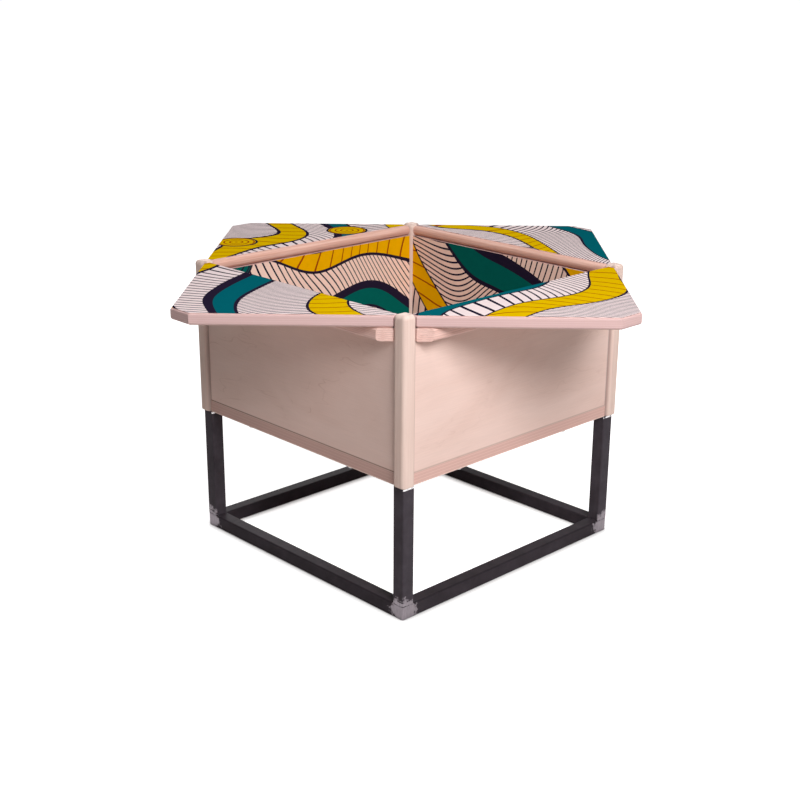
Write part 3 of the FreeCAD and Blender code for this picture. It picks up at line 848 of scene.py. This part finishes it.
@dataclass
class TubeBase:
    """Welded base: four legs on four floor rails, and the tabs that hold the box."""

    leg_steel: MillScaleSteel = MillScaleSteel()
    # The rails are the same steel as the legs. Their darker scale colours are painted shade for the rails
    # under the box.
    rail_steel: MillScaleSteel = MillScaleSteel(scale_dark="#322D31", scale_light="#3E383E", specular=0.03)
    screws: DrawnSteel = DrawnSteel()

    def build(self) -> None:
        """Dress legs, rails, tabs and their screws."""
        sizes = (span("leg_front_right", 0)[1], *span("leg_front_right", 2))
        upright = self.leg_steel.material("legs", *sizes)
        level = self.rail_steel.material("rails", *sizes, creased=True)
        for corner in Corner:
            dress("leg_" + corner.label, upright)
            dress("leg_tab_" + corner.label, upright)
        for side in Side:
            dress("rail_" + side.label, level)
        dress("tab_screws", self.screws.material("tab_screws"))


@dataclass
class StorageBox:
    """Box: corner posts, walls, linings, bottom panel and the battens that carry the leaves."""

    # Front and rear walls get a strong painted shadow line at the foot. The right and left walls
    # (quiet_sheet, with fewer wisps) get a faint one, and the bottom panel a middling one.
    sheet: BirchPlywood = BirchPlywood(joint_shadow_wide=1.9, joint_shadow_weight=0.85)
    quiet_sheet: BirchPlywood = BirchPlywood(wisp_weight=0.12, joint_shadow_weight=0.25)
    panel: BirchPlywood = BirchPlywood(ply_pale="#DFB9AF", ply_deep="#D8AFA5", glue="#CAA095", ply=2.2,
                                       front_rear_shade=0.86, joint_shadow_weight=0.42)
    post: SolidBirch = SolidBirch()
    batten: SolidBirch = SolidBirch(pale="#F2CEC5", deep="#E8BFB4", line="#A87F74", line_weight=0.35)
    # Same print as on the leaves. The warmer, brighter ground and warmer inks of the linings are painted warm
    # bounce light inside the box.
    lining: PrintedSheet = PrintedSheet(ground="#FAD8C9", mustard="#F0B000", teal="#056058",
                                        open_hatch=Hatch(11.0, 0.24, -0.7))
    hardware: DrawnSteel = DrawnSteel()
    post_seed: float = 11.0         # steps of the shift from one piece to the next
    wall_seed: float = 3.7
    batten_seed: float = 7.0
    panel_seed: float = 9.0
    lining_cut: Levels = (190.0, 60.0)
    lining_lean: Levels = (0.9, 0.7)    # of the first lining, and the step to the next

    def build(self) -> None:
        """Dress every fixed piece of the box."""
        joint = span("bottom_panel", 2)[1]
        ends = span("post_front_right", 0)[0]
        self.dress_posts(ends)
        for step, side in enumerate(Side):
            self.dress_side(step, side, joint, ends)
        dress("bottom_panel", self.panel.material("bottom_panel", Lay.LEVEL, *span("bottom_panel", 2),
                                                  seed=self.panel_seed, joint=joint))
        dress("wall_dowels", self.post.material("dowels", Grain.LENGTHWISE))
        for name in ("base_screws", "stop_pegs"):
            dress(name, self.hardware.material(name))

    def dress_posts(self, ends: float) -> None:
        """Dress the corner posts, with a painted shadow line where a wall meets them.

        Args:
            ends: distance from the middle at which the posts begin, in mm.
        """
        outside = span("wall_front", 1)[0]
        meets = ((ends, outside), (-outside, -ends))
        for step, corner in enumerate(Corner):
            name = "post_" + corner.label
            dress(name, self.post.material(name, Grain.STANDING, corner.turn, self.post_seed * step, meets))

    def dress_side(self, step: int, side: Side, joint: float, ends: float) -> None:
        """Dress the wall, lining and batten of one side.

        Args:
            step: number of the side, counted from the front.
            side: side of the box.
            joint: height of the joint between wall and bottom panel, in mm.
            ends: distance from the middle at which the posts begin, in mm.
        """
        name = side.label
        veneer = self.sheet if side in (Side.FRONT, Side.REAR) else self.quiet_sheet
        dress("wall_" + name, veneer.material("wall_" + name, Lay.UPRIGHT, *span("wall_front", 1), side.turn,
                                              self.wall_seed * step, joint, ends))
        cut = (self.lining_cut[0] * step, self.lining_cut[1] * step)
        lean = self.lining_lean[0] + self.lining_lean[1] * step
        dress("lining_" + name, self.lining.material("lining_" + name, Lay.UPRIGHT, side.turn, cut, lean))
        dress("rest_batten_" + name, self.batten.material("batten_" + name, Grain.LENGTHWISE, side.turn,
                                                          self.batten_seed * step))


@dataclass
class FoldingLeaf:
    """One turning leaf with its printed face, a lipping along the hinge, and its pivot pins."""

    side: Side
    cut: Levels                     # where on the printed run the face was cut
    lean: float                     # direction of the printed layers
    wood: BirchPlywood = BirchPlywood()
    face: PrintedSheet = PrintedSheet()
    pins: DrawnSteel = DrawnSteel()
    first_seed: float = 20.0        # keeps the figure apart from that of the walls

    def build(self) -> None:
        """Dress the leaf, its face and its pins."""
        name = self.side.label
        hinge = span("leaf_print_front", 1)[1]
        low, high = span("leaf_" + name, 2)

        # The sheet counts as one ply thicker, so that the plies run up to the printed face
        wood = self.wood.material("leaf_" + name, Lay.LEVEL, low, high + self.wood.ply, self.side.turn,
                                  self.first_seed + self.side.value, lipped=hinge)
        face = self.face.material("leaf_" + name, Lay.LEVEL, self.side.turn, self.cut, self.lean)
        dress("leaf_" + name, wood)
        dress("leaf_print_" + name, face)
        dress("pivot_pins_" + name, self.pins.material("pivot_pins_" + name))


@dataclass
class Lamp:
    """One soft rectangular studio lamp, aimed at the table. Sizes are in metres."""

    name: str
    place: Place
    wide: float
    high: float
    watts: float
    target: Place = (0.0, 0.0, 0.28)

    def build(self) -> None:
        """Put the lamp in the scene."""
        light = bpy.data.lights.new(self.name, "AREA")
        light.shape = "RECTANGLE"
        light.size = self.wide
        light.size_y = self.high
        light.energy = self.watts
        lamp = bpy.data.objects.new(self.name, light)
        lamp.location = self.place
        aim = Vector(self.target) - Vector(self.place)
        lamp.rotation_euler = aim.to_track_quat("-Z", "Y").to_euler()
        lamp.visible_camera = False
        bpy.context.scene.collection.objects.link(lamp)
        LOG.info("lamp: %s", self.name)


@dataclass
class Studio:
    """White floor and background, soft lamps and the camera. Sizes are in metres."""

    lamps: list[Lamp] = field(default_factory=lambda: [
        Lamp("key", (1.592, -0.65, 1.603), 0.875, 0.852, 40.2),
        Lamp("top", (0.0, 0.0, 2.6), 1.4, 1.4, 14.0),
        Lamp("side", (2.0, 0.6, 0.35), 1.2, 0.6, 1.1),
        Lamp("fill", (-1.7, 0.9, 0.9), 1.2, 1.2, 12.0)])
    floor_size: float = 60.0
    floor_shade: str = "#CBC6C3"    # what lights the table from below
    floor_seen: str = "#C4C4C4"
    floor_glow: float = 0.97        # what is seen of the floor besides the light that falls on it
    contact: float = 0.017          # reach of the contact shadow
    contact_levels: Levels = (0.35, 0.95)
    contact_samples: int = 16
    white: str = "#FFFFFF"
    ambient: float = 0.09
    ambient_shade: str = "#FFF7F4"
    lens: float = 58.65             # in mm, as the sensor
    sensor: float = 36.0
    eye: Place = (1.3435, -1.3068, 0.8386)
    right: Place = (0.69140, 0.72245, 0.00563)
    up: Place = (-0.23377, 0.21634, 0.94792)

    def build(self) -> None:
        """Build floor, background, lamps and camera."""
        self.lay_floor()
        self.set_background()
        for lamp in self.lamps:
            lamp.build()
        self.set_camera()
        bpy.context.scene.view_settings.view_transform = "Standard"

    def seen_directly(self, tree: Tree) -> Node:
        """Mask of rays that come from the camera, a reflection or a clear surface.

        Args:
            tree: node tree that gets the nodes.
        Returns:
            Output that is 1 for those rays and 0 for the others.
        """
        rays = add_node(tree, "LightPath").outputs
        first = add_node(tree, "Math.MAXIMUM", links={0: rays["Is Camera Ray"], 1: rays["Is Glossy Ray"]})
        return add_node(tree, "Math.MAXIMUM", links={0: first, 1: rays["Is Transmission Ray"]})

    def lay_floor(self) -> None:
        """Lay the pale floor, which keeps the shadow of the table."""
        half = self.floor_size / 2
        corners = [(-half, -half, 0), (half, -half, 0), (half, half, 0), (-half, half, 0)]
        mesh = bpy.data.meshes.new("floor")
        mesh.from_pydata(corners, [], [(0, 1, 2, 3)])
        floor = bpy.data.objects.new("floor", mesh)
        bpy.context.scene.collection.objects.link(floor)
        material = bpy.data.materials.new("matt_white_floor")
        material.use_nodes = True
        tree = material.node_tree
        tree.nodes.clear()
        direct = self.seen_directly(tree)
        shade = add_node(tree, "Mix", {FIRST: linear(self.floor_shade), SECOND: linear(self.floor_seen)},
                         {FACTOR: direct})
        matt = add_node(tree, "BsdfDiffuse", links=shade)
        near = add_node(tree, "AmbientOcclusion", {"samples": self.contact_samples, "Distance": self.contact})
        level = add_node(tree, "MapRange", {"From": self.contact_levels, "To": (0.0, self.floor_glow)},
                         near.outputs["AO"])
        seen = add_node(tree, "Math.MULTIPLY", links={0: level, 1: direct})
        glow = add_node(tree, "Emission", links={"Strength": seen})
        both = add_node(tree, "AddShader", links={0: matt, 1: glow})
        add_node(tree, "OutputMaterial", links=both)
        mesh.materials.append(material)

    def set_background(self) -> None:
        """White where it is seen, and a softer even light on the table."""
        world = bpy.data.worlds.new("studio")
        bpy.context.scene.world = world
        world.use_nodes = True
        tree = world.node_tree
        tree.nodes.clear()
        seen = self.seen_directly(tree)
        level = add_node(tree, "MapRange", {"To": (self.ambient, 1.0)}, seen)
        shade = add_node(tree, "Mix", {FIRST: linear(self.ambient_shade), SECOND: linear(self.white)},
                         {FACTOR: seen})
        light = add_node(tree, "Background", links={"Color": shade, "Strength": level})
        add_node(tree, "OutputWorld", links=light)

    def set_camera(self) -> None:
        """Stand the camera where the table was seen from."""
        lens = bpy.data.cameras.new("camera")
        lens.lens = self.lens
        lens.sensor_width = self.sensor
        lens.clip_end = 2 * self.floor_size
        camera = bpy.data.objects.new("camera", lens)
        right, up = Vector(self.right), Vector(self.up)
        turn = Matrix((right, up, right.cross(up))).transposed().to_4x4()
        camera.matrix_world = Matrix.Translation(self.eye) @ turn
        bpy.context.scene.collection.objects.link(camera)
        bpy.context.scene.camera = camera


def main() -> None:
    """Dress the table and set up the studio."""
    logging.basicConfig(level=logging.INFO, format="%(message)s")
    TubeBase().build()
    StorageBox().build()
    cuts = {Side.FRONT: ((40.0, 120.0), 0.5), Side.RIGHT: ((310.0, 260.0), -0.4),
            Side.REAR: ((168.0, -449.0), 0.25), Side.LEFT: ((127.0, 42.0), -0.7)}
    for side, (cut, lean) in cuts.items():
        FoldingLeaf(side, cut, lean).build()
    Studio().build()


if __name__ == "__main__":
    main()
